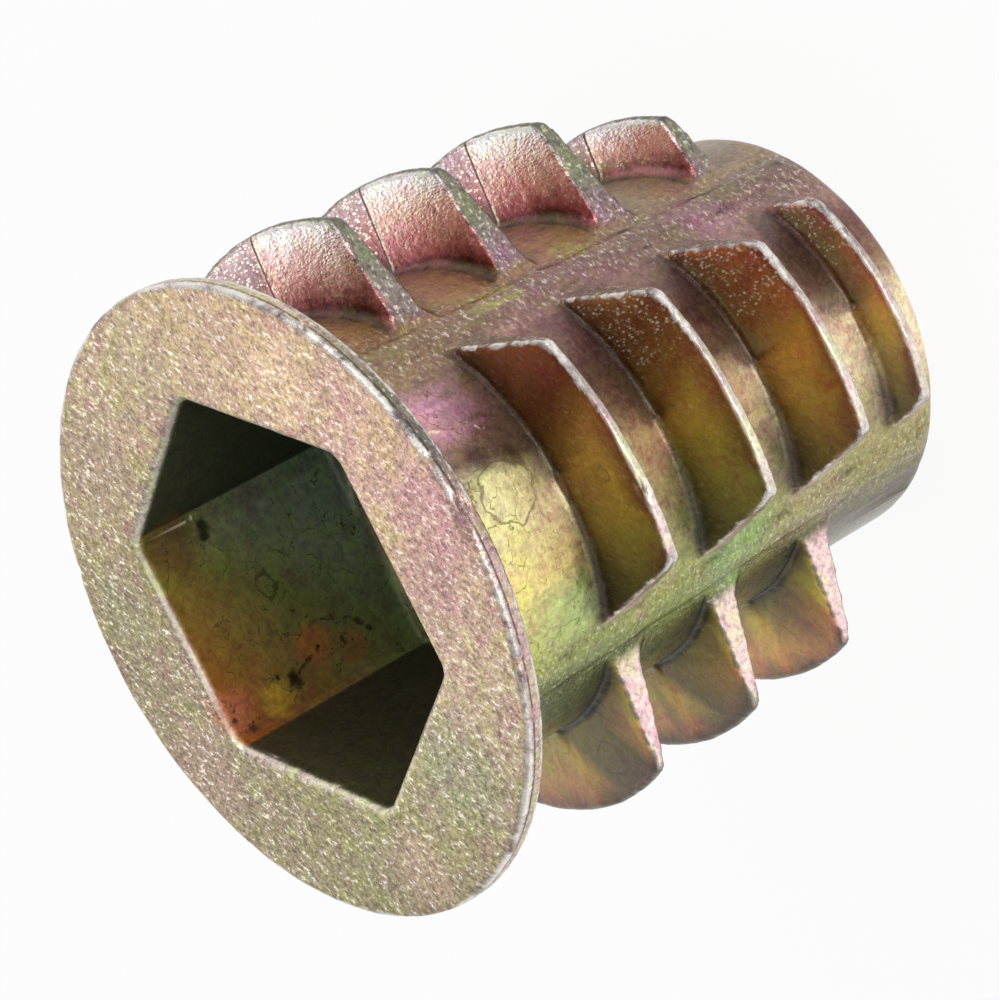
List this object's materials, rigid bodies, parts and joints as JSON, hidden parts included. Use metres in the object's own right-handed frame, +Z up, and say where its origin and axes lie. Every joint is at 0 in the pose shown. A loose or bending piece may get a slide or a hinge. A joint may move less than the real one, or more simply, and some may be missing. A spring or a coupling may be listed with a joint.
{
  "type": "threaded insert",
  "caption": "Flanged insert for wood with a hexagon key socket, coarse interrupted outer fins on a tapered barrel, and a metric bore running out at the tip.",
  "frame": {"origin": "centre of the tip face, on the insert's axis, at the lowest point", "axes": "+Z runs up the axis from the tip to the flange face; +X and +Y point along the middles of two neighbouring rows of fins, and two corners of the hexagon socket lie on the X axis"},
  "size_m": [0.014, 0.014, 0.0148],
  "materials": {
    "chromated_zinc": "satin yellow-iridescent chromate on die-cast zinc alloy"
  },
  "bodies": {
    "root": {"insert_body": "chromated_zinc"}
  },
  "joints": []
}
